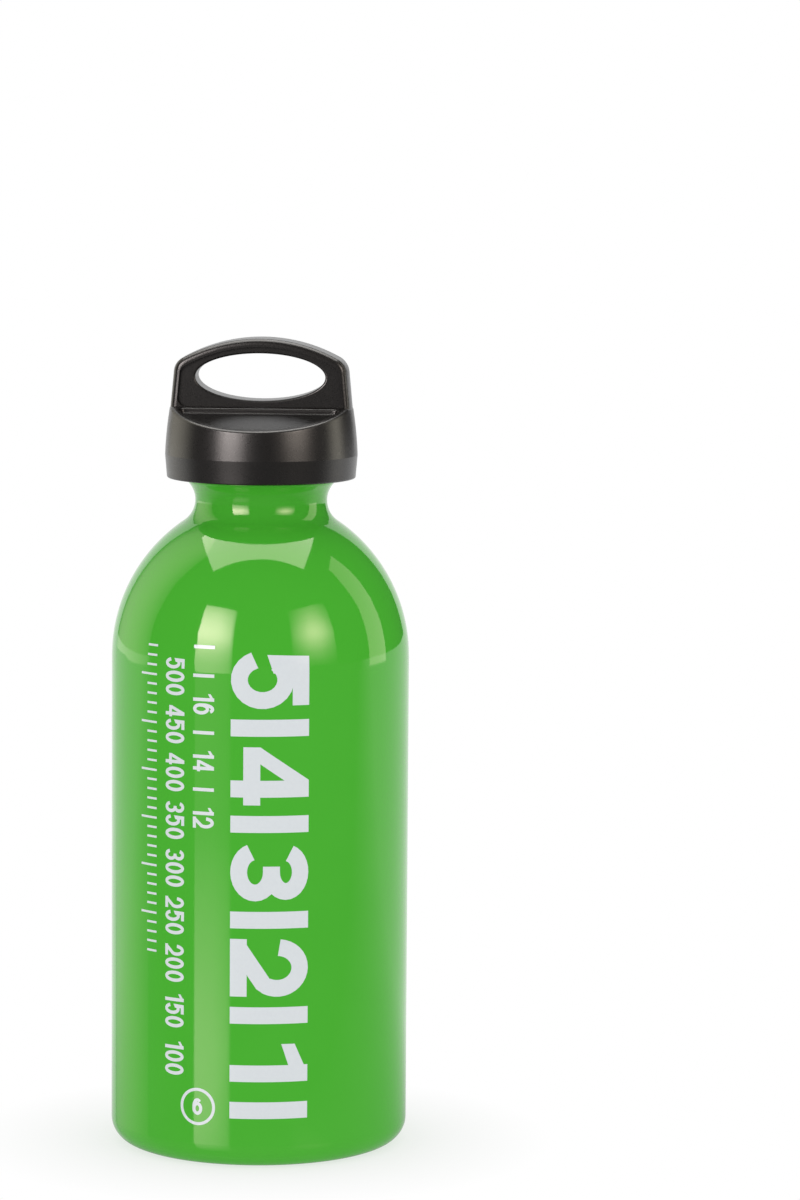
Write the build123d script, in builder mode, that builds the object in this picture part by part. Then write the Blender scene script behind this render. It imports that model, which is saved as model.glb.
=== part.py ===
from build123d import *
import math
import os

os.makedirs("parts", exist_ok=True)

# A camping fuel bottle with a push-and-turn safety cap, in millimetres. The origin is the
# centre of the base and +Z is up. The carrying loop is wide along X, and its front looks
# towards -Y. The pieces are drawn closed, with the cap screwed home and let go.

overrun = 6.0  # how far a cutting shape runs past the face that it cuts

# Bottle, a single drawn aluminium shell
body_radius = 37.5
body_wall = 1.0
base_corner_radius = 6.0
foot_width = 2.0  # flat ring that the bottle stands on
dome_rise = 4.0  # height of the hollow under the base
dome_wall = 1.4
shoulder_start = 124.0  # end of the straight wall
shoulder_radius = 41.3
waist_radius = 16.6  # narrowest part of the neck, outside
neck_curve_radius = 6.4
neck_wall = 2.4  # at the waist, down to the bottom of the thread's groove
mouth_rise = 9.15  # from the waist up to the top of the lip
lip_overhang = 2.2  # how far the lip stands out from the waist
lip_bead_radius = 1.1
lip_rounding = 0.8

# Screw thread, right-handed
thread_pitch = 3.0
thread_depth = 1.1
thread_clearance = 0.25
thread_flank_angle = 27.0
flank_points = 6  # steps along each flank of the thread's section

# Threaded plug
plug_length = 13.5  # from the underside of the flange to the lower end
plug_floor = 2.0  # under the well for the spring
flange_overhang = 2.4  # beyond the neck's lip
flange_thickness = 2.0
flange_rounding = 0.3
seat_gap = 0.1  # between faces of two pieces that rest on each other
spring_well_clearance = 0.4
seal_land_clearance = 0.2  # between the land under the flange and the neck's bore

# Clutch between the plug and the cap
tooth_count = 8
tooth_inset = 1.6  # from the flange's edge
tooth_length = 5.2
cap_tooth_height = 2.9
tooth_width_share = 0.4  # of the angle from one tooth to the next
tooth_gap = 0.4  # between the two sets of teeth when the cap is let go
press_travel = 1.6
pressed_gap = 0.3  # between the cap's teeth and the flange when the cap is pressed down

# Seal ring
seal_section = 2.6

# Clutch spring
wire_diameter = 1.2
spring_outer_radius = 8.6
spring_turns = 7

# Thrust washer
washer_thickness = 1.0
washer_bore_radius = 3.1
washer_pin_clearance = 0.2

# Cap
skirt_overlap = 3.5  # how far the skirt reaches down past the top of the lip
skirt_bore_clearance = 0.4
skirt_wall = 2.6  # at the skirt's widest place
skirt_widest_rise = 5.9  # rises are counted from the lower edge of the skirt
skirt_middle_rise = 12.6
skirt_base_inset = 0.5  # insets are counted inwards from the widest place
skirt_middle_inset = 0.5
ridge_inset = 1.25
loop_end_inset = 2.95  # the cap's envelope at the loop's top
crown_height = 7.6  # from the ceiling inside up to the ridge, where the loop's foot is
ceiling_rounding = 1.2
skirt_edge_rounding = 0.4

# Sloping fronts of the cap, with a dished pocket in each
slope_angle = 15.0
rim_rounding = 0.9
pocket_rim_width = 1.6
pocket_ridge_width = 1.1
pocket_depth = 1.2
pocket_taper = 15.0
pocket_corner_radius = 1.2
pocket_floor_rounding = 0.5
pocket_edge_rounding = 0.7

# Carrying loop
loop_half_depth = 5.8
loop_foot_depth = 4.0
loop_inset = 0.1  # from the edge of the cap's body
arch_radius = 40.7
arch_corner_radius = 4.0
arch_edge_rounding = 1.5
finger_hole_height = 11.85
finger_hole_sill = 1.55  # from the ridge up to the finger hole
finger_hole_rounding = 0.5
loop_post_width = 4.95  # beside the finger hole
loop_bar_height = 3.7  # over the finger hole
panel_recess = 1.1
panel_side_width = 1.9  # from the envelope to the recessed panel
panel_arch_width = 2.0
panel_corner_radius = 2.2

# Cored-out spaces in the foot of the loop, open downwards
core_width = 8.5
core_depth = 7.0
core_roof = 2.3  # from the top of the core up to the ridge
core_spacing = 25.0
core_rounding = 1.5

# Retaining ring
ring_thickness = 2.0
ring_lip_clearance = 0.4  # between the ring and the neck's lip
ring_groove_depth = 0.6
ring_groove_clearance = 0.05
ring_chamfer = 0.4


def finish(builder, name):
    """Labels a finished piece and writes it to its own file."""
    builder.part.label = name
    export_step(builder.part, f"parts/{name}.step")


# The neck's curve touches the shoulder's arc, passes the waist upright and touches the lip's bead.
shoulder_centre_radius = body_radius - shoulder_radius
neck_centre_radius = waist_radius + neck_curve_radius
neck_reach = neck_centre_radius - shoulder_centre_radius
neck_rise = math.sqrt((shoulder_radius + neck_curve_radius) ** 2 - neck_reach**2)
waist_height = shoulder_start + neck_rise
mouth_height = waist_height + mouth_rise
lip_radius = waist_radius + lip_overhang
touch_share = shoulder_radius / (shoulder_radius + neck_curve_radius)
touch_radius = shoulder_centre_radius + touch_share * neck_reach
touch_height = shoulder_start + touch_share * neck_rise
flare_cosine = 1 - lip_overhang / (neck_curve_radius + lip_bead_radius)
flare_sine = math.sqrt(1 - flare_cosine**2)
flare_end_radius = neck_centre_radius - neck_curve_radius * flare_cosine
flare_end_height = waist_height + neck_curve_radius * flare_sine
bead_top_height = flare_end_height + lip_bead_radius * flare_sine

# The bore meets the inside of the shoulder here, and ends at the seat for the seal ring.
thread_bore_radius = waist_radius - neck_wall
inner_shoulder_radius = shoulder_radius - body_wall
bore_reach = thread_bore_radius - shoulder_centre_radius
bore_foot_height = shoulder_start + math.sqrt(inner_shoulder_radius**2 - bore_reach**2)
land_radius = thread_bore_radius - seal_land_clearance
seal_seat_radius = land_radius + seal_section + 2 * seat_gap
seal_seat_depth = seal_section + seat_gap
seal_seat_height = mouth_height - seal_seat_depth

# Thread flanks, so that each keeps the clearance square to the axis
flank_slope = math.tan(math.radians(thread_flank_angle))
plug_core_radius = thread_bore_radius - thread_depth - thread_clearance
ridge_root_width = thread_pitch / 2 - thread_clearance + flank_slope * (thread_depth + thread_clearance)
ridge_crest_width = ridge_root_width - 2 * flank_slope * thread_depth


def polar(radius, angle):
    """A point at a radius and an angle in degrees."""
    return (radius * math.cos(math.radians(angle)), radius * math.sin(math.radians(angle)))


def threaded_rod(root_radius, crest_radius, ridge_angle, low, high):
    """A rod with one helical ridge, which lies at ridge_angle at the height of the origin.

    Its section across the axis is the same at every height and only turns, once for each
    pitch, so the rod is one twisted extrusion.
    """
    root_angle = 180 * ridge_root_width / thread_pitch
    crest_angle = 180 * ridge_crest_width / thread_pitch
    steps = [step / flank_points for step in range(flank_points + 1)]
    rising = [
        polar(
            root_radius + (crest_radius - root_radius) * step,
            ridge_angle - root_angle + (root_angle - crest_angle) * step,
        )
        for step in steps
    ]
    falling = [
        polar(
            crest_radius + (root_radius - crest_radius) * step,
            ridge_angle + crest_angle + (root_angle - crest_angle) * step,
        )
        for step in steps
    ]
    with BuildSketch() as section:
        with BuildLine():
            Spline(rising)
            ThreePointArc(rising[-1], polar(crest_radius, ridge_angle), falling[0])
            Spline(falling)
            ThreePointArc(falling[-1], polar(root_radius, ridge_angle + 180), rising[0])
        make_face()
    length = high - low
    rod = Solid.extrude_linear_with_rotation(
        section.sketch.face(), (0, 0, 0), (0, 0, length), 360 * length / thread_pitch
    )
    return Pos(0, 0, low) * Rot(0, 0, 360 * low / thread_pitch) * rod


# Bottle shell. The tap is the threaded space in the neck, and starts a part of a turn off the
# bore's foot, so that no seam of its surface lies on the foot's plane.
tap = threaded_rod(
    thread_bore_radius,
    thread_bore_radius - thread_depth,
    180,
    bore_foot_height - overrun - thread_pitch / 4,
    seal_seat_height + overrun,
)
inner_radius = body_radius - body_wall
foot_outer_radius = body_radius - base_corner_radius
foot_inner_radius = foot_outer_radius - foot_width
inner_corner_radius = base_corner_radius - body_wall
dome_arc_radius = (foot_inner_radius**2 + dome_rise**2) / (2 * dome_rise)
inner_dome_rise = dome_rise + dome_wall - body_wall
inner_dome_arc_radius = (foot_inner_radius**2 + inner_dome_rise**2) / (2 * inner_dome_rise)

with BuildPart() as bottle_shell:
    with BuildSketch(Plane.XZ):
        with BuildLine():
            RadiusArc((0, dome_rise), (foot_inner_radius, 0), dome_arc_radius)
            Line((foot_inner_radius, 0), (foot_outer_radius, 0))
            TangentArc((foot_outer_radius, 0), (body_radius, base_corner_radius), tangent=(1, 0))
            Line((body_radius, base_corner_radius), (body_radius, shoulder_start))
            TangentArc((body_radius, shoulder_start), (touch_radius, touch_height), tangent=(0, 1))
            ThreePointArc(
                (touch_radius, touch_height),
                (waist_radius, waist_height),
                (flare_end_radius, flare_end_height),
            )
            TangentArc(
                (flare_end_radius, flare_end_height),
                (lip_radius, bead_top_height),
                tangent=(flare_sine, flare_cosine),
            )
            Line((lip_radius, bead_top_height), (lip_radius, mouth_height - lip_rounding))
            TangentArc(
                (lip_radius, mouth_height - lip_rounding),
                (lip_radius - lip_rounding, mouth_height),
                tangent=(0, 1),
            )
            Line((lip_radius - lip_rounding, mouth_height), (0, mouth_height))
            Line((0, mouth_height), (0, dome_rise))
        make_face()
    revolve(axis=Axis.Z)
    with BuildSketch(Plane.XZ):
        with BuildLine():
            RadiusArc(
                (0, body_wall + inner_dome_rise),
                (foot_inner_radius, body_wall),
                inner_dome_arc_radius,
            )
            Line((foot_inner_radius, body_wall), (foot_outer_radius, body_wall))
            TangentArc(
                (foot_outer_radius, body_wall),
                (inner_radius, base_corner_radius),
                tangent=(1, 0),
            )
            Line((inner_radius, base_corner_radius), (inner_radius, shoulder_start))
            TangentArc(
                (inner_radius, shoulder_start),
                (thread_bore_radius, bore_foot_height),
                tangent=(0, 1),
            )
            Line((thread_bore_radius, bore_foot_height), (0, bore_foot_height))
            Line((0, bore_foot_height), (0, body_wall + inner_dome_rise))
        make_face()
    revolve(axis=Axis.Z, mode=Mode.SUBTRACT)
    add(tap, mode=Mode.SUBTRACT)
    with BuildSketch(Plane.XY.offset(seal_seat_height)):
        Circle(seal_seat_radius)
    extrude(amount=seal_seat_depth + overrun, mode=Mode.SUBTRACT)
finish(bottle_shell, "bottle_shell")

# Threaded plug, with a flange over the lip, clutch teeth on top and a well for the spring
flange_base_height = mouth_height + seat_gap
flange_top_height = flange_base_height + flange_thickness
flange_radius = lip_radius + flange_overhang
plug_end_height = flange_base_height - plug_length
land_base_height = seal_seat_height + seat_gap
well_radius = spring_outer_radius + spring_well_clearance
well_floor_height = plug_end_height + plug_floor
tooth_outer_radius = flange_radius - tooth_inset
tooth_inner_radius = tooth_outer_radius - tooth_length
plug_tooth_height = press_travel + pressed_gap - tooth_gap
tooth_step = 360 / tooth_count
tooth_half_angle = tooth_step * tooth_width_share / 2


# One clutch tooth, a piece of a ring about the axis
with BuildSketch() as tooth:
    with BuildLine():
        ThreePointArc(
            polar(tooth_inner_radius, -tooth_half_angle),
            polar(tooth_inner_radius, 0),
            polar(tooth_inner_radius, tooth_half_angle),
        )
        Line(polar(tooth_inner_radius, tooth_half_angle), polar(tooth_outer_radius, tooth_half_angle))
        ThreePointArc(
            polar(tooth_outer_radius, tooth_half_angle),
            polar(tooth_outer_radius, 0),
            polar(tooth_outer_radius, -tooth_half_angle),
        )
        Line(polar(tooth_outer_radius, -tooth_half_angle), polar(tooth_inner_radius, -tooth_half_angle))
    make_face()

plug_rod = threaded_rod(
    plug_core_radius,
    plug_core_radius + thread_depth,
    0,
    plug_end_height,
    land_base_height,
)
with BuildPart() as threaded_plug:
    add(plug_rod)
    # Lead-in, which tapers the start of the thread
    with BuildSketch(Plane.XZ):
        Polygon(
            (plug_core_radius, plug_end_height),
            (plug_core_radius + overrun, plug_end_height),
            (plug_core_radius + overrun, plug_end_height + overrun),
            align=None,
        )
    revolve(axis=Axis.Z, mode=Mode.SUBTRACT)
    with BuildSketch(Plane.XY.offset(land_base_height)):
        Circle(land_radius)
    extrude(amount=flange_base_height - land_base_height)
    with BuildSketch(Plane.XY.offset(flange_base_height)):
        Circle(flange_radius)
    flange = extrude(amount=flange_thickness)
    fillet(flange.edges().filter_by(GeomType.CIRCLE), radius=flange_rounding)
    with BuildSketch(Plane.XY.offset(flange_top_height)):
        with PolarLocations(0, tooth_count):
            add(tooth.sketch)
    extrude(amount=plug_tooth_height)
    with BuildSketch(Plane.XY.offset(well_floor_height)):
        Circle(well_radius)
    extrude(amount=plug_length + flange_thickness + overrun, mode=Mode.SUBTRACT)
finish(threaded_plug, "threaded_plug")


# Seal ring, under the flange and in the neck's seat
seal_radius = land_radius + seat_gap + seal_section / 2
with BuildPart() as seal_ring:
    with BuildSketch(Plane.XZ):
        with Locations((seal_radius, flange_base_height - seat_gap - seal_section / 2)):
            Circle(seal_section / 2)
    revolve(axis=Axis.Z)
finish(seal_ring, "seal_ring")

# Cap, which stands on the clutch's spring with its teeth clear of the plug's
ceiling_height = flange_top_height + plug_tooth_height + tooth_gap + cap_tooth_height
ridge_height = ceiling_height + crown_height
cap_base_height = mouth_height - skirt_overlap
finger_hole_centre_height = ridge_height + finger_hole_sill + finger_hole_height / 2
loop_top_height = finger_hole_centre_height + finger_hole_height / 2 + loop_bar_height
skirt_bore_radius = flange_radius + skirt_bore_clearance
skirt_radius = skirt_bore_radius + skirt_wall
ridge_envelope_radius = skirt_radius - ridge_inset
loop_end_radius = skirt_radius - loop_end_inset
slope_cosine = math.cos(math.radians(slope_angle))
slope_sine = math.sin(math.radians(slope_angle))
slope_reach = skirt_radius + overrun - loop_half_depth
slope_drop = slope_reach * slope_sine / slope_cosine
arch_centre_height = loop_top_height - arch_radius
pocket_radius = ridge_envelope_radius - pocket_rim_width
loop_rise = loop_top_height - ridge_height
end_taper = (ridge_envelope_radius - loop_inset - loop_end_radius) / loop_rise


def slope_plane(side):
    """The cap's sloping front (side -1) or back (side 1), with its Y axis pointing up the slope."""
    return Plane(
        origin=(0, side * loop_half_depth, ridge_height),
        x_dir=(-side, 0, 0),
        z_dir=(0, side * slope_sine, slope_cosine),
    )


def loop_face(side):
    """The loop's front (side -1) or back (side 1) face, with heights along its Y axis."""
    return Plane(origin=(0, side * loop_half_depth, 0), x_dir=(-side, 0, 0), z_dir=(0, side, 0))


# Carrying loop. Its foot is sunk into the body of the cap, and its ends lean inwards.
foot_height = ridge_height - loop_foot_depth
loop_foot_radius = ridge_envelope_radius - loop_inset + end_taper * loop_foot_depth
panel_foot_half_width = ridge_envelope_radius - loop_inset - panel_side_width
panel_top_half_width = loop_end_radius - panel_side_width
ring_base_height = flange_base_height - seat_gap - ring_thickness
washer_pin_length = washer_thickness + 2 * washer_pin_clearance
with BuildPart() as loop:
    with BuildSketch(Plane.XZ):
        Polygon(
            (0, foot_height),
            (loop_foot_radius, foot_height),
            (loop_end_radius - end_taper * overrun, loop_top_height + overrun),
            (0, loop_top_height + overrun),
            align=None,
        )
    revolve(axis=Axis.Z)
    with BuildSketch(Plane.XY.offset(foot_height)):
        Rectangle(2 * skirt_radius + overrun, 2 * loop_half_depth)
    extrude(amount=loop_foot_depth + loop_rise + overrun, mode=Mode.INTERSECT)
    with BuildSketch(Plane.XZ):
        with Locations((0, (ridge_height + loop_top_height) / 2)):
            Rectangle(
                2 * skirt_radius + overrun,
                loop_rise + overrun,
                align=(Align.CENTER, Align.MIN),
            )
        with Locations((0, arch_centre_height)):
            Circle(arch_radius, mode=Mode.SUBTRACT)
    extrude(amount=loop_half_depth + overrun, both=True, mode=Mode.SUBTRACT)
    corner_edges = loop.edges().filter_by(
        lambda edge: edge.center().Z > ridge_height
        and abs(edge.center().Y) < loop_half_depth / 2
    )
    fillet(corner_edges, radius=arch_corner_radius)
    outline_edges = loop.edges().filter_by(
        lambda edge: edge.center().Z > ridge_height - loop_foot_depth / 2
        and abs(edge.center().Y) > loop_half_depth / 2
    )
    fillet(outline_edges, radius=arch_edge_rounding)

with BuildPart() as outer_cap:
    with BuildSketch(Plane.XZ):
        with BuildLine():
            Polyline(
                (0, ridge_height),
                (0, cap_base_height),
                (skirt_radius - skirt_base_inset, cap_base_height),
                (skirt_radius, cap_base_height + skirt_widest_rise),
            )
            ThreePointArc(
                (skirt_radius, cap_base_height + skirt_widest_rise),
                (skirt_radius - skirt_middle_inset, cap_base_height + skirt_middle_rise),
                (ridge_envelope_radius, ridge_height),
            )
            Line((ridge_envelope_radius, ridge_height), (0, ridge_height))
        make_face()
    revolve(axis=Axis.Z)
    # Flat under the loop, and sloping down to the rim before and behind it
    with BuildSketch(Plane.YZ):
        with BuildLine():
            Polyline(
                (-loop_half_depth - slope_reach, ridge_height - slope_drop),
                (-loop_half_depth, ridge_height),
                (loop_half_depth, ridge_height),
                (loop_half_depth + slope_reach, ridge_height - slope_drop),
                (loop_half_depth + slope_reach, loop_top_height + 2 * overrun),
                (-loop_half_depth - slope_reach, loop_top_height + 2 * overrun),
                close=True,
            )
        make_face()
    extrude(amount=skirt_radius + overrun, both=True, mode=Mode.SUBTRACT)
    rim_edges = outer_cap.edges().filter_by(
        lambda edge: edge.center().Z > ceiling_height and edge.geom_type != GeomType.LINE
    )
    fillet(rim_edges, radius=rim_rounding)
    # The dished pocket in each slope
    for side in (-1, 1):
        with BuildSketch(slope_plane(side)):
            with Locations((0, loop_half_depth / slope_cosine)):
                Ellipse(pocket_radius, pocket_radius / slope_cosine)
            with Locations((0, -pocket_ridge_width)):
                Rectangle(
                    2 * skirt_radius,
                    2 * skirt_radius,
                    align=(Align.CENTER, Align.MAX),
                    mode=Mode.INTERSECT,
                )
            fillet(vertices(), radius=pocket_corner_radius)
        extrude(amount=-pocket_depth, taper=pocket_taper, mode=Mode.SUBTRACT)
    pocket_floors = outer_cap.faces().filter_by(GeomType.PLANE).filter_by(
        lambda face: abs(face.center().Y) > loop_half_depth and not face.inner_wires()
    )
    fillet(pocket_floors.edges(), radius=pocket_floor_rounding)
    slopes = outer_cap.faces().filter_by(GeomType.PLANE).filter_by(lambda face: face.inner_wires())
    fillet([face.inner_wires()[0].edges() for face in slopes], radius=pocket_edge_rounding)
    add(loop.part)
    # Recessed panels on both faces of the loop, round the finger hole
    for side in (-1, 1):
        with BuildSketch(loop_face(side)):
            with Locations((0, arch_centre_height)):
                Circle(arch_radius - panel_arch_width)
            Polygon(
                (-panel_foot_half_width, ridge_height),
                (panel_foot_half_width, ridge_height),
                (panel_top_half_width, loop_top_height),
                (-panel_top_half_width, loop_top_height),
                align=None,
                mode=Mode.INTERSECT,
            )
            fillet(vertices().group_by(Axis.Z)[-1], radius=panel_corner_radius)
        extrude(amount=-panel_recess, mode=Mode.SUBTRACT)
    with BuildSketch(Plane.XZ):
        with Locations((0, finger_hole_centre_height)):
            Ellipse(loop_end_radius - loop_post_width, finger_hole_height / 2)
    extrude(amount=loop_half_depth + overrun, both=True, mode=Mode.SUBTRACT)
    panel_floors = outer_cap.faces().filter_by(Plane.XZ).filter_by(
        lambda face: abs(face.center().Y) < loop_half_depth - panel_recess / 2
    )
    fillet([face.inner_wires()[0].edges() for face in panel_floors], radius=finger_hole_rounding)
    # Inside of the skirt, with its groove for the retaining ring
    with BuildSketch(Plane.XY.offset(ceiling_height)):
        Circle(skirt_bore_radius)
    extrude(amount=cap_base_height - overrun - ceiling_height, mode=Mode.SUBTRACT)
    ceiling = outer_cap.faces(Select.LAST).sort_by(Axis.Z)[-1]
    fillet(ceiling.edges(), radius=ceiling_rounding)
    fillet(outer_cap.edges().group_by(Axis.Z)[0], radius=skirt_edge_rounding)
    with BuildSketch(Plane.XY.offset(ring_base_height - ring_groove_clearance)):
        Circle(skirt_bore_radius + ring_groove_depth)
    extrude(amount=ring_thickness + 2 * ring_groove_clearance, mode=Mode.SUBTRACT)
    # Clutch teeth, which stand half a step round from the plug's
    with BuildSketch(Plane.XY.offset(ceiling_height)):
        with PolarLocations(0, tooth_count, start_angle=tooth_step / 2):
            add(tooth.sketch)
    extrude(amount=-cap_tooth_height)
    # Pin that centres the thrust washer
    with BuildSketch(Plane.XY.offset(ceiling_height)):
        Circle(washer_bore_radius - washer_pin_clearance)
    extrude(amount=-washer_pin_length)
    # Cored-out foot of the loop
    with BuildSketch(Plane.XY.offset(ceiling_height)):
        with GridLocations(core_spacing, 0, 2, 1):
            RectangleRounded(core_width, core_depth, core_rounding)
    extrude(amount=crown_height - core_roof, mode=Mode.SUBTRACT)
finish(outer_cap, "outer_cap")

# Retaining ring, snapped into the skirt under the plug's flange
with BuildPart() as retaining_ring:
    with BuildSketch(Plane.XY.offset(ring_base_height)):
        Circle(skirt_bore_radius + ring_groove_depth - ring_groove_clearance)
        Circle(lip_radius + ring_lip_clearance, mode=Mode.SUBTRACT)
    extrude(amount=ring_thickness)
    chamfer(retaining_ring.edges().group_by(Axis.Z)[0], length=ring_chamfer)
finish(retaining_ring, "retaining_ring")

# Thrust washer, between the spring and the cap
washer_base_height = ceiling_height - seat_gap - washer_thickness
with BuildPart() as thrust_washer:
    with BuildSketch(Plane.XY.offset(washer_base_height)):
        Circle(spring_outer_radius)
        Circle(washer_bore_radius, mode=Mode.SUBTRACT)
    extrude(amount=washer_thickness)
finish(thrust_washer, "thrust_washer")

# Clutch spring, a coil ground flat where it bears on the well's floor and on the washer
spring_base_height = well_floor_height + seat_gap
spring_length = washer_base_height - seat_gap - spring_base_height
with BuildPart() as clutch_spring:
    with BuildLine(Plane.XY.offset(spring_base_height)) as coil:
        Helix(
            pitch=spring_length / spring_turns,
            height=spring_length,
            radius=spring_outer_radius - wire_diameter / 2,
        )
    with BuildSketch(Plane(coil.line @ 0, z_dir=coil.line % 0)):
        Circle(wire_diameter / 2)
    sweep(path=coil.line, is_frenet=True)
    with BuildSketch(Plane.XY.offset(spring_base_height)):
        Circle(spring_outer_radius + overrun)
    extrude(amount=spring_length, mode=Mode.INTERSECT)
finish(clutch_spring, "clutch_spring")
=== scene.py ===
import math

import bmesh
import bpy
from mathutils import Matrix, Vector
from mathutils.geometry import delaunay_2d_cdt


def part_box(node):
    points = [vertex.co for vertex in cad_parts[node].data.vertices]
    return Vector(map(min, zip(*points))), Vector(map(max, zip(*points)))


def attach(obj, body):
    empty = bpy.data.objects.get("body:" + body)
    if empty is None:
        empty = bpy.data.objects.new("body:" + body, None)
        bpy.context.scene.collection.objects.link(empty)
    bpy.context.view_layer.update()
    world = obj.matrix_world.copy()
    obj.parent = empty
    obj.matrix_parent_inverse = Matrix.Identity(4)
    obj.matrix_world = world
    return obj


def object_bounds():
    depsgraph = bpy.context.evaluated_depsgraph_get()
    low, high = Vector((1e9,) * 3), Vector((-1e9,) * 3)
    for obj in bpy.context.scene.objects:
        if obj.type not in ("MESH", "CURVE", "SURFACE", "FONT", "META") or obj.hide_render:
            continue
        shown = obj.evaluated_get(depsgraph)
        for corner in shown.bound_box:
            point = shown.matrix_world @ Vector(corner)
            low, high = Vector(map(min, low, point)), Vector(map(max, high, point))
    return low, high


# The looks of a camping fuel bottle: a glossy lacquered shell with a plain printed scale, and a
# moulded cap. Lengths are in metres, angles in degrees. The bottle stands at the origin, +Z is up
# and -Y is its front.

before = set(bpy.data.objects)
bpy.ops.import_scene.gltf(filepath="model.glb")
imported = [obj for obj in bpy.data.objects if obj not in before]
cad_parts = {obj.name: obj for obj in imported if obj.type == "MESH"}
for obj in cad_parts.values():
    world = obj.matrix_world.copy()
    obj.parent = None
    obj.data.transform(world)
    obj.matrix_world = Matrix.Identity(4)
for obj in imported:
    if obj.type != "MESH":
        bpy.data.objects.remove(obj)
cad_low, cad_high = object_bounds()
_, shell_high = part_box("bottle_shell")
scene = bpy.context.scene

# Camera, which stands where the photograph was taken from
camera_distance = 1.2529
camera_height = 0.28364
camera_azimuth = 4.98  # to the right of the bottle's front
camera_aim = 1.605  # how far it points to the right of the bottle's axis
camera_pitch = 6.622
camera_roll = 0.42
camera_lens = 150.0
camera_sensor = 36.0
camera_near, camera_far = 0.05, 60.0

# Outline of the shell, as in the CAD
barrel_radius = shell_high.x
shoulder_start = 0.124
shoulder_radius = 0.0413

# Print. Azimuths are counted from the bottle's front, to the right.
ink_height = 0.00002  # how far the ink stands out of the shell, and how far it reaches into it
ink_step = 0.001  # the longest run of a face round the bottle and up its shoulder
level_zero = 0.0031  # height of the level at which the bottle is empty
level_rise = 0.239  # height in metres for each litre
ounce = 0.0295735  # litres in a fluid ounce
numbered_ounces = (12, 14, 16)

# Figures. The width and weight of a figure and the gap after it are shares of its height.
one_width = 0.66  # the share of the other figures' width that a 1 takes
figure_azimuth = 8.7
figure_height = 0.0195
figure_width = 0.74
figure_weight = 0.215
bar_width = 0.0042
ounce_azimuth = -16.9
millilitre_azimuth = -29.2
small_height = 0.0056
small_width = 0.5
small_weight = 0.15
small_gap = 0.09

# Ruler
ruler_azimuth = -42.3
ruler_start, ruler_end = 21, 53  # in hundredths of a litre, one for each tick
tick_width = 0.00055
short_tick = 0.6  # share of a long tick's length

# Ring with a figure in it
ring_azimuth = -19.0
ring_height = 0.0154
ring_radius = 0.0047
ring_width = 0.00075
six_height = 0.0042
six_width = 0.64
six_weight = 0.2

# Floor
floor_reach = 12.0

# Lights. Azimuths are counted from the camera, to the right.
ambient_strength = 0.89
key_azimuth = -36.5
fill_azimuth = 42.5
main_distance = 1.6
strip_distance = 1.4
strip_tint = (1, 0.94, 0.78)
lamp_height = 0.5
lamp_size = (0.8, 0.9)  # its width and height

# Overhead softbox, square to the camera, with its edges' distances from the bottle's axis
top_height = 1.4
top_left, top_right, top_front, top_back = -0.8, 0.7, -0.33, 0.7
top_strength = 5.0
top_tint = (1, 0.97, 0.93)

# Dark studio
tent_radius = 3.0
tent_gap = 30  # half the width of its opening behind the bottle
tent_rings, tent_steps = 8, 40
tent_strength = 0.06


# Meshes


def new_object(name, mesh, material):
    thing = bpy.data.objects.new(name, mesh)
    scene.collection.objects.link(thing)
    mesh.materials.append(material)
    return thing


def arc(centre, radii, start, end, steps=20):
    """Points along an elliptical arc."""
    turns = [math.radians(start + (end - start) * step / steps) for step in range(steps + 1)]
    return [
        (centre[0] + radii[0] * math.cos(turn), centre[1] + radii[1] * math.sin(turn))
        for turn in turns
    ]


def stroke(points, width):
    """The quads of a pen stroke along some points."""
    points = [Vector(point) for point in points]
    closed = (points[0] - points[-1]).length < width / 100
    sides = []
    for index, point in enumerate(points):
        before = points[index - 1] if index else points[-2] if closed else point
        after = points[index + 1] if index + 1 < len(points) else points[1] if closed else point
        across = (after - before).normalized().orthogonal() * width / 2
        sides.append((point + across, point - across))
    return [
        [left, right, far_right, far_left]
        for (left, right), (far_left, far_right) in zip(sides, sides[1:])
    ]


def figure(digit, width, weight):
    """A digit from 0 to 6 that is 1 high, as the quads of its pen strokes."""
    low, high, middle = weight / 2, 1 - weight / 2, width / 2
    side = middle - weight / 2
    tall = (high - low) / 2
    quads, lines = [], []
    if digit == "0":
        lines = [arc((middle, 0.5), (side, tall), 0, 360, 40)]
    elif digit == "1":
        stem = one_width * width
        lines = [[(stem - low, 0), (stem - low, 1)]]
        quads = [[(0, 0.83 - 0.8 * weight), (stem - low, 1 - weight), (stem - low, 1), (0, 0.83)]]
    elif digit == "2":
        bend = arc((middle, high - 0.74 * tall), (side, 0.74 * tall), 175, -38)
        lines = [bend + [(low, low)], [(0, low), (width, low)]]
    elif digit == "3":
        upper, lower = 0.47 * tall, 0.53 * tall
        waist = low + 2 * lower
        lines = [
            arc((middle, high - upper), (0.94 * side, upper), 165, -90),
            arc((middle, low + lower), (side, lower), 90, -165),
            [(0.4 * width, waist), (middle, waist)],
        ]
    elif digit == "4":
        stem, crossbar = 0.72 * width, 0.27
        lines = [[(stem, 0), (stem, 1)], [(0, crossbar), (width, crossbar)]]
        corner = crossbar + low
        quads = [[(0, corner), (weight, corner), (stem + low, 1), (stem - low, 1)]]
    elif digit == "5":
        stem = 0.1 * width
        lines = [
            [(stem, high), (0.94 * width, high)],
            arc((middle, low + 0.75 * tall), (side, 0.75 * tall), 142, -160),
        ]
        quads = [[(stem - 0.02, 0.46), (stem + weight, 0.54), (stem + weight, 1), (stem, 1)]]
    elif digit == "6":
        lines = [
            arc((middle, low + 0.72 * tall), (side, 0.72 * tall), 0, 360, 40),
            arc((middle, 0.5), (side, tall), 200, 48),
        ]
    return quads + [quad for line in lines for quad in stroke(line, weight)]


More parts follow.
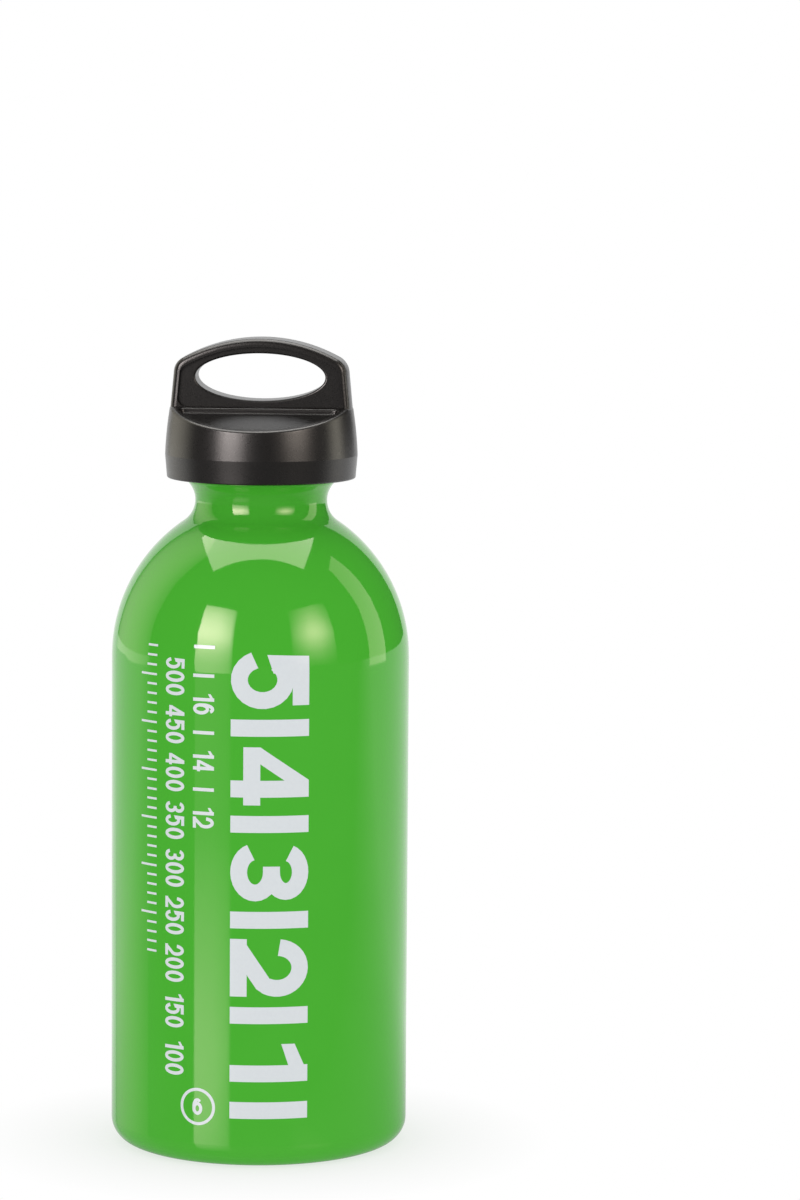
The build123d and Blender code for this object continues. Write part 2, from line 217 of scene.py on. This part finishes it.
def number(text, level, azimuth, height, width, weight, gap=0):
    """A number that reads downwards, as quads on the unrolled barrel, centred on a level."""
    widths = [one_width * width if digit == "1" else width for digit in text]
    length = sum(widths) + gap * (len(text) - 1)
    start = level + height * length / 2
    around = unrolled(azimuth) - height / 2
    quads = []
    for digit, digit_width in zip(text, widths):
        for quad in figure(digit, width, weight):
            quads.append([(around + height * y, start - height * x) for x, y in quad])
        start -= height * (digit_width + gap)
    return quads


def bar(level, azimuth, length, width):
    """A bar round the barrel at a level. Its middle is at the azimuth."""
    left, right = (unrolled(azimuth) + side * length / 2 for side in (-1, 1))
    lower, upper = level - width / 2, level + width / 2
    return [[(left, lower), (right, lower), (right, upper), (left, upper)]]


def unrolled(azimuth):
    return barrel_radius * math.radians(azimuth)


def level_height(litres):
    return level_zero + level_rise * litres


def shell_radius(height):
    """The shell's outer radius on the barrel and the lower shoulder."""
    rise = max(height - shoulder_start, 0)
    return barrel_radius - shoulder_radius + math.sqrt(shoulder_radius ** 2 - rise ** 2)


def merged(quads):
    """Overlapping quads on the unrolled barrel as one flat mesh."""
    corners, faces = [], []
    for quad in quads:
        area = sum(a[0] * b[1] - a[1] * b[0] for a, b in zip(quad, quad[1:] + quad[:1]))
        faces.append(list(range(len(corners), len(corners) + len(quad))))
        # In millimetres, so that the merging distance fits
        corners += [Vector(point) * 1000 for point in (quad if area > 0 else reversed(quad))]
    points, _, triangles, _, _, sources = delaunay_2d_cdt(corners, [], faces, 1, 1e-4)
    flat = bmesh.new()
    verts = [flat.verts.new((point.x / 1000, point.y / 1000, -ink_height)) for point in points]
    for triangle, source in zip(triangles, sources):
        if source:
            flat.faces.new([verts[index] for index in triangle])
    loose = [vert for vert in flat.verts if not vert.link_faces]
    bmesh.ops.delete(flat, geom=loose, context="VERTS")
    bmesh.ops.dissolve_limit(flat, angle_limit=math.radians(1), verts=flat.verts, edges=flat.edges)
    return flat


def cut(solid, normal, distance):
    """Cuts a mesh along a plane."""
    bmesh.ops.bisect_plane(
        solid,
        geom=[*solid.verts, *solid.edges, *solid.faces],
        plane_co=normal * distance,
        plane_no=normal,
        dist=1e-7,
    )


def printed(name, quads):
    """Ink on the shell, from overlapping quads on the unrolled barrel."""
    solid = merged(quads)
    start, end = (pick(vert.co.x for vert in solid.verts) for pick in (min, max))
    top = max(vert.co.y for vert in solid.verts)
    for step in range(1, math.ceil((end - start) / ink_step)):
        cut(solid, Vector((1, 0, 0)), start + ink_step * step)
    # The shoulder curves as it rises too
    for step in range(math.ceil((top - shoulder_start) / ink_step)):
        cut(solid, Vector((0, 1, 0)), shoulder_start + ink_step * step)
    bmesh.ops.triangulate(solid, faces=[face for face in solid.faces if len(face.verts) > 4])
    lifted = bmesh.ops.extrude_face_region(solid, geom=solid.faces[:], use_keep_orig=True)["geom"]
    for vert in lifted:
        if isinstance(vert, bmesh.types.BMVert):
            vert.co.z = ink_height
    for vert in solid.verts:
        around, height, lift = vert.co
        turn, radius = around / barrel_radius, shell_radius(height) + lift
        vert.co = (radius * math.sin(turn), -radius * math.cos(turn), height)
    bmesh.ops.recalc_face_normals(solid, faces=solid.faces)
    mesh = bpy.data.meshes.new(name)
    solid.to_mesh(mesh)
    solid.free()
    piece = new_object(name, mesh, ink)
    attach(piece, "bottle")


# Nodes and materials


def new_material(name):
    """A material, its node tree and its Principled shader."""
    material = bpy.data.materials.new(name)
    material.use_nodes = True
    return material, material.node_tree, material.node_tree.nodes["Principled BSDF"]


def empty_material(name):
    """A material and its empty node tree."""
    material, tree, _ = new_material(name)
    tree.nodes.clear()
    return material, tree


def set_inputs(tree, node, inputs):
    """Gives a node's inputs their values or links."""
    for name, value in inputs.items():
        if isinstance(value, bpy.types.NodeSocket):
            tree.links.new(value, node.inputs[name])
        else:
            node.inputs[name].default_value = value


def add_node(tree, kind, inputs=None, **settings):
    node = tree.nodes.new("ShaderNode" + kind)
    for name, value in settings.items():
        setattr(node, name, value)
    set_inputs(tree, node, inputs or {})
    return node


def maths(tree, operation, *values):
    return add_node(tree, "Math", dict(enumerate(values)), operation=operation).outputs["Value"]


def axes(tree, vector):
    """The X, Y and Z of a vector."""
    node = add_node(tree, "SeparateXYZ", {0: vector})
    return [node.outputs[axis] for axis in "XYZ"]


def white(tree, kind, strength):
    """White light from an Emission or a Background node."""
    inputs = {"Color": (1, 1, 1, 1), "Strength": strength}
    return add_node(tree, kind, inputs).outputs[kind]


def mixed_shaders(tree, factor, first, second):
    return add_node(tree, "MixShader", {0: factor, 1: first, 2: second}).outputs["Shader"]


def noise(tree, scale, detail=2.0):
    """A noise texture that is fixed to the piece. The scale is in features for each metre."""
    place = add_node(tree, "TexCoord").outputs["Object"]
    inputs = {"Vector": place, "Scale": scale, "Detail": detail}
    return add_node(tree, "TexNoise", inputs).outputs["Fac"]


def spread(tree, value, low, high, start=0.0, end=1.0):
    """Maps a value that runs from start to end on to the range from low to high."""
    limits = {"Value": value, "From Min": start, "From Max": end, "To Min": low, "To Max": high}
    return add_node(tree, "MapRange", limits).outputs["Result"]


def bump(tree, height, strength, distance):
    inputs = {"Height": height, "Strength": strength, "Distance": distance}
    return add_node(tree, "Bump", inputs).outputs["Normal"]


def mixed(tree, kind, factor, first, second):
    """A mix of two colours, numbers or vectors."""
    node = add_node(tree, "Mix", data_type=kind)
    sockets = [socket for socket in node.inputs if socket.enabled]
    for socket, value in zip(sockets, (factor, first, second)):
        if isinstance(value, bpy.types.NodeSocket):
            tree.links.new(value, socket)
        else:
            socket.default_value = (*value, 1) if isinstance(value, tuple) else value
    return next(socket for socket in node.outputs if socket.enabled)


def shades(tree, scale, first, second):
    """A colour that wanders between two."""
    return mixed(tree, "RGBA", noise(tree, scale), first, second)


def ramp(tree, value, stops):
    """A smooth grey ramp through stops of (place, brightness)."""
    node = add_node(tree, "ValToRGB", {"Fac": value})
    node.color_ramp.interpolation = "B_SPLINE" if len(stops) > 3 else "EASE"
    elements = node.color_ramp.elements
    while len(elements) < len(stops):
        elements.new(0.5)
    for element, (place, grey) in zip(elements, stops):
        element.position = place
        element.color = (grey, grey, grey, 1)
    return node.outputs["Color"]


def lacquer_material():
    """Green lacquer outside and bare, spun aluminium inside."""
    material, tree, shader = new_material("green_lacquer")
    place = add_node(tree, "TexCoord").outputs["Object"]
    x, y, z = axes(tree, place)
    facing_x, facing_y, facing_z = axes(tree, add_node(tree, "TexCoord").outputs["Normal"])
    # The wall inside faces the axis, and the floor inside faces up and lies low
    sideways = [maths(tree, "MULTIPLY", x, facing_x), maths(tree, "MULTIPLY", y, facing_y)]
    inner_wall = maths(tree, "LESS_THAN", maths(tree, "ADD", *sideways), 0.0)
    faces_up = maths(tree, "GREATER_THAN", facing_z, 0.3)
    lies_low = maths(tree, "LESS_THAN", z, 0.03)
    inside = maths(tree, "MAXIMUM", inner_wall, maths(tree, "MULTIPLY", faces_up, lies_low))
    stretched = add_node(tree, "Mapping", {"Vector": place, "Scale": (1, 1, 30)})
    ring_inputs = {"Vector": stretched.outputs["Vector"], "Scale": 60.0, "Detail": 4.0}
    rings = add_node(tree, "TexNoise", ring_inputs).outputs["Fac"]
    paint = shades(tree, 60.0, (0.060, 0.412, 0.027), (0.066, 0.426, 0.031))
    metal = mixed(tree, "RGBA", rings, (0.62, 0.62, 0.61), (0.74, 0.74, 0.73))
    paint_roughness = spread(tree, noise(tree, 400.0), low=0.03, high=0.07)
    metal_roughness = spread(tree, rings, low=0.3, high=0.45)
    paint_bump = bump(tree, noise(tree, 160.0, detail=1.0), strength=0.25, distance=0.00002)
    metal_bump = bump(tree, rings, strength=0.3, distance=0.00005)
    set_inputs(tree, shader, {
        "Base Color": mixed(tree, "RGBA", inside, paint, metal),
        "Metallic": inside,
        "Roughness": mixed(tree, "FLOAT", inside, paint_roughness, metal_roughness),
        "Normal": mixed(tree, "VECTOR", inside, paint_bump, metal_bump),
        "IOR": 1.5,
        "Specular Tint": (1, 0.86, 0.76, 1),
    })
    return material


def plastic_material(name, dark, light, roughness, grain, grain_scale=3500.0, ior=1.5):
    """Moulded plastic with a fine grain."""
    material, tree, shader = new_material(name)
    grain_noise = noise(tree, grain_scale, detail=3.0)
    set_inputs(tree, shader, {
        "Base Color": shades(tree, 900.0, dark, light),
        "Roughness": spread(tree, noise(tree, 2500.0), roughness - 0.05, roughness + 0.05),
        "Normal": bump(tree, grain_noise, strength=grain, distance=0.0002),
        "IOR": ior,
    })
    return material


def steel_material():
    """Drawn spring wire."""
    material, tree, shader = new_material("spring_steel")
    set_inputs(tree, shader, {
        "Base Color": shades(tree, 1500.0, (0.50, 0.49, 0.47), (0.62, 0.61, 0.59)),
        "Metallic": 1.0,
        "Roughness": spread(tree, noise(tree, 4000.0), low=0.25, high=0.4),
    })
    return material


def ink_material():
    material, tree, shader = new_material("white_ink")
    set_inputs(tree, shader, {
        "Base Color": shades(tree, 1200.0, (0.655, 0.69, 0.715), (0.70, 0.735, 0.755)),
        "Roughness": spread(tree, noise(tree, 3000.0), low=0.16, high=0.26),
        "Normal": bump(tree, noise(tree, 5000.0), strength=0.1, distance=0.00002),
    })
    return material


# Lights


def placed(azimuth, distance, height):
    """A place at an azimuth to the right of the camera."""
    turn = math.radians(camera_azimuth + azimuth)
    return Vector((distance * math.sin(turn), -distance * math.cos(turn), height))


def area_lamp(name, location, target, width, height, strength, tint=(1, 1, 1)):
    lamp = bpy.data.lights.new(name, "AREA")
    lamp.shape = "RECTANGLE"
    lamp.color = tint
    lamp.size = width
    lamp.size_y = height
    # At this energy the lamp's face is as bright as its strength says
    lamp.energy = strength * width * height * math.pi
    holder = bpy.data.objects.new(name, lamp)
    scene.collection.objects.link(holder)
    holder.location = location
    holder.rotation_mode = "QUATERNION"
    holder.rotation_quaternion = (location - target).to_track_quat("Z", "Y")
    holder.visible_camera = False
    return holder


def softbox(name, azimuth, distance, low, high, width, strength, tint, fade, sides=None):
    """An upright softbox that shows in reflections. The fade says how bright it is from its lower
    edge to its upper, and the sides say how bright it is from left to right."""
    location = placed(azimuth, distance, (low + high) / 2)
    target = Vector((0, 0, location.z))
    holder = area_lamp(name, location, target, width, high - low, strength, tint)
    holder.visible_diffuse = False
    lamp = holder.data
    lamp.use_nodes = True
    tree = lamp.node_tree
    across, upward, _ = axes(tree, add_node(tree, "NewGeometry").outputs["Parametric"])
    power = ramp(tree, upward, fade)
    if sides:
        power = maths(tree, "MULTIPLY", power, ramp(tree, across, sides))
    tree.links.new(power, tree.nodes["Emission"].inputs["Strength"])


# Looks of the CAD's pieces

ink = ink_material()
cap_plastic = plastic_material(
    "cap_plastic",
    dark=(0.006, 0.005, 0.0045),
    light=(0.009, 0.0075, 0.007),
    roughness=0.29,
    grain=0.08,
    ior=1.54,
)
node_materials = {
    "bottle_shell": lacquer_material(),
    "outer_cap": cap_plastic,
    "retaining_ring": cap_plastic,
    "threaded_plug": plastic_material(
        "plug_plastic",
        dark=(0.045, 0.045, 0.047),
        light=(0.06, 0.06, 0.062),
        roughness=0.42,
        grain=0.08,
    ),
    "seal_ring": plastic_material(
        "seal_rubber",
        dark=(0.012, 0.012, 0.012),
        light=(0.02, 0.02, 0.02),
        roughness=0.55,
        grain=0.15,
        grain_scale=1800.0,
    ),
    "thrust_washer": plastic_material(
        "washer_nylon",
        dark=(0.72, 0.70, 0.64),
        light=(0.78, 0.76, 0.70),
        roughness=0.4,
        grain=0.06,
    ),
    "clutch_spring": steel_material(),
}
for node, material in node_materials.items():
    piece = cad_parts[node]
    piece.data.materials.clear()
    piece.data.materials.append(material)

# Print: a scale for the contents, in tenths of a litre, fluid ounces and millilitres

big = (figure_height, figure_width, figure_weight)
small = (small_height, small_width, small_weight, small_gap)

quads = []
for tenths in range(1, 6):
    quads += number(str(tenths), level_height(tenths / 10), figure_azimuth, *big)
    quads += bar(level_height((tenths - 0.5) / 10), figure_azimuth, figure_height, bar_width)
printed("print_tenths", quads)

quads = []
for ounces in range(12, 19):
    level = level_height(ounces * ounce)
    if ounces in numbered_ounces:
        quads += number(str(ounces), level, ounce_azimuth, *small)
    else:
        quads += bar(level, ounce_azimuth, small_height, small_weight * small_height)
printed("print_ounces", quads)

quads = []
for millilitres in range(100, 501, 50):
    level = level_height(millilitres / 1000)
    quads += number(str(millilitres), level, millilitre_azimuth, *small)
printed("print_millilitres", quads)

quads = []
for tick in range(ruler_start, ruler_end + 1):
    length = small_height * (1.0 if tick % 5 == 0 else short_tick)
    shift = math.degrees((small_height - length) / 2 / barrel_radius)
    quads += bar(level_height(tick / 100), ruler_azimuth + shift, length, tick_width)
printed("print_ruler", quads)

around = unrolled(ring_azimuth)
circle = arc((around, ring_height), [ring_radius - ring_width / 2] * 2, 0, 360, 64)
quads = stroke(circle, ring_width)
for quad in figure("6", six_width, six_weight):
    quads.append([
        (around + six_height * (x - six_width / 2), ring_height + six_height * (y - 0.5))
        for x, y in quad
    ])
printed("print_ring", quads)

# Floor. The camera sees plain white, with a soft shadow under the bottle.

floor_mesh = bpy.data.meshes.new("floor")
floor_corners = [
    (x * floor_reach, y * floor_reach, 0) for x, y in ((-1, -1), (1, -1), (1, 1), (-1, 1))
]
floor_mesh.from_pydata(floor_corners, [], [(0, 1, 2, 3)])
floor_material, tree = empty_material("floor")
light_path = add_node(tree, "LightPath")
place = add_node(tree, "NewGeometry").outputs["Position"]
distance = add_node(tree, "VectorMath", {0: place}, operation="LENGTH").outputs["Value"]
matt = add_node(tree, "BsdfDiffuse", {"Color": (0.9, 0.9, 0.9, 1)}).outputs["BSDF"]
shadow = spread(tree, distance, low=0.3, high=0.0, start=0.04, end=0.075)
plain = mixed_shaders(tree, shadow, white(tree, "Emission", 1.0), matt)
# Reflections see a floor that is brighter behind the bottle, and glossy on its left
across, along, _ = axes(tree, place)
brightness = spread(tree, along, low=0.16, high=1.0, start=-0.1, end=0.15)
glow = white(tree, "Emission", brightness)
mirror = add_node(tree, "BsdfGlossy", {"Color": (1, 1, 1, 1), "Roughness": 0.12}).outputs["BSDF"]
fresnel = add_node(tree, "Fresnel", {"IOR": 1.45}).outputs["Fac"]
on_left = spread(tree, across, low=1.0, high=0.0, start=-0.05, end=0.05)
close_by = spread(tree, distance, low=1.4, high=0.3, start=0.2, end=0.55)
gloss = maths(tree, "MULTIPLY", maths(tree, "MULTIPLY", fresnel, on_left), close_by)
reflected = mixed_shaders(tree, gloss, glow, mirror)
whole = mixed_shaders(tree, light_path.outputs["Is Glossy Ray"], plain, reflected)
add_node(tree, "OutputMaterial", {"Surface": whole})
floor = new_object("floor", floor_mesh, floor_material)

# World, which is plain white to the camera and in reflections, and softly lights the rest

world = bpy.data.worlds.new("studio")
scene.world = world
world.use_nodes = True
tree = world.node_tree
tree.nodes.clear()
light_path = add_node(tree, "LightPath")
seen = maths(
    tree, "MAXIMUM", light_path.outputs["Is Camera Ray"], light_path.outputs["Is Glossy Ray"]
)
seen = maths(tree, "MAXIMUM", seen, light_path.outputs["Is Transmission Ray"])
ambient = white(tree, "Background", ambient_strength)
backdrop = white(tree, "Background", 1.0)
add_node(tree, "OutputWorld", {"Surface": mixed_shaders(tree, seen, ambient, backdrop)})

# Softboxes, which only reflections see

softbox(
    "key", azimuth=key_azimuth, distance=main_distance,
    low=0.0, high=1.3, width=0.83, strength=17.0, tint=(1, 0.91, 0.88),
    fade=[
        (0.0, 0.25), (0.1, 0.33), (0.28, 0.5), (0.46, 1.0),
        (0.655, 0.85), (0.85, 0.62), (1.0, 0.32),
    ],
    sides=[(0.0, 1.0), (0.5, 1.0), (0.72, 0.8), (0.92, 0.6), (1.0, 0.1)],
)
softbox(
    "fill", azimuth=fill_azimuth, distance=main_distance,
    low=0.05, high=1.3, width=1.05, strength=12.8, tint=(1, 0.88, 0.78),
    fade=[(0.0, 0.0), (0.2, 0.25), (0.35, 0.6), (0.5, 1.0), (0.7, 0.6), (1.0, 0.1)],
    sides=[(0.0, 0.0), (0.25, 0.6), (0.5, 1.0), (0.75, 0.7), (1.0, 0.1)],
)
softbox(
    "left_strip", azimuth=-122, distance=strip_distance,
    low=0.0, high=2.6, width=1.4, strength=1.5, tint=strip_tint,
    fade=[(0.0, 1.0), (1.0, 1.0)],
    sides=[(0.0, 0.1), (0.12, 0.5), (0.36, 0.8), (0.6, 1.0), (0.8, 0.85), (1.0, 0.3)],
)
softbox(
    "right_strip", azimuth=102, distance=strip_distance,
    low=0.0, high=1.7, width=0.5, strength=2.3, tint=strip_tint,
    fade=[(0.0, 1.0), (1.0, 0.8)],
)

camera_turn = Matrix.Rotation(math.radians(camera_azimuth), 4, "Z")
top_centre = camera_turn @ Vector(
    ((top_left + top_right) / 2, (top_front + top_back) / 2, top_height)
)
top = area_lamp(
    "top_softbox", top_centre, Vector((top_centre.x, top_centre.y, 0)),
    top_right - top_left, top_back - top_front, top_strength, top_tint,
)
top.rotation_quaternion = camera_turn.to_quaternion()
top.visible_diffuse = False

# Soft light on the matt side of things

lamp_target = Vector((0, 0, cad_high.z / 2))
for name, azimuth, strength in (
    ("key_light", key_azimuth, 1.1),
    ("fill_light", fill_azimuth, 0.75),
):
    location = placed(azimuth, main_distance, lamp_height)
    lamp = area_lamp(name, location, lamp_target, *lamp_size, strength)
    lamp.visible_glossy = False

# Dark studio, a dome that only reflections see, open behind the bottle

dome = bmesh.new()
rows = []
for ring in range(tent_rings + 1):
    rise = math.radians(90 * ring / tent_rings)
    row = []
    for step in range(tent_steps + 1):
        azimuth = (tent_gap - 180) + (360 - 2 * tent_gap) * step / tent_steps
        place = placed(azimuth, tent_radius * math.cos(rise), tent_radius * math.sin(rise))
        row.append(dome.verts.new(place))
    rows.append(row)
for lower, upper in zip(rows, rows[1:]):
    for step in range(tent_steps):
        dome.faces.new((lower[step], lower[step + 1], upper[step + 1], upper[step]))
tent_mesh = bpy.data.meshes.new("tent")
dome.to_mesh(tent_mesh)
dome.free()
tent_material, tree = empty_material("tent")
add_node(tree, "OutputMaterial", {"Surface": white(tree, "Emission", tent_strength)})
tent = new_object("tent", tent_mesh, tent_material)
tent.visible_camera = tent.visible_diffuse = False
tent.visible_transmission = tent.visible_shadow = False

# Camera

camera_data = bpy.data.cameras.new("camera")
camera_data.sensor_width = camera_sensor
camera_data.lens = camera_lens
camera_data.clip_start = camera_near
camera_data.clip_end = camera_far
camera = bpy.data.objects.new("camera", camera_data)
scene.collection.objects.link(camera)
camera.location = placed(0, camera_distance, camera_height)
camera.rotation_mode = "QUATERNION"
camera.rotation_quaternion = (
    Matrix.Rotation(math.radians(camera_azimuth - camera_aim), 4, "Z")
    @ Matrix.Rotation(math.radians(90 - camera_pitch), 4, "X")
    @ Matrix.Rotation(math.radians(camera_roll), 4, "Z")
).to_quaternion()
scene.camera = camera

scene.view_settings.view_transform = "Standard"
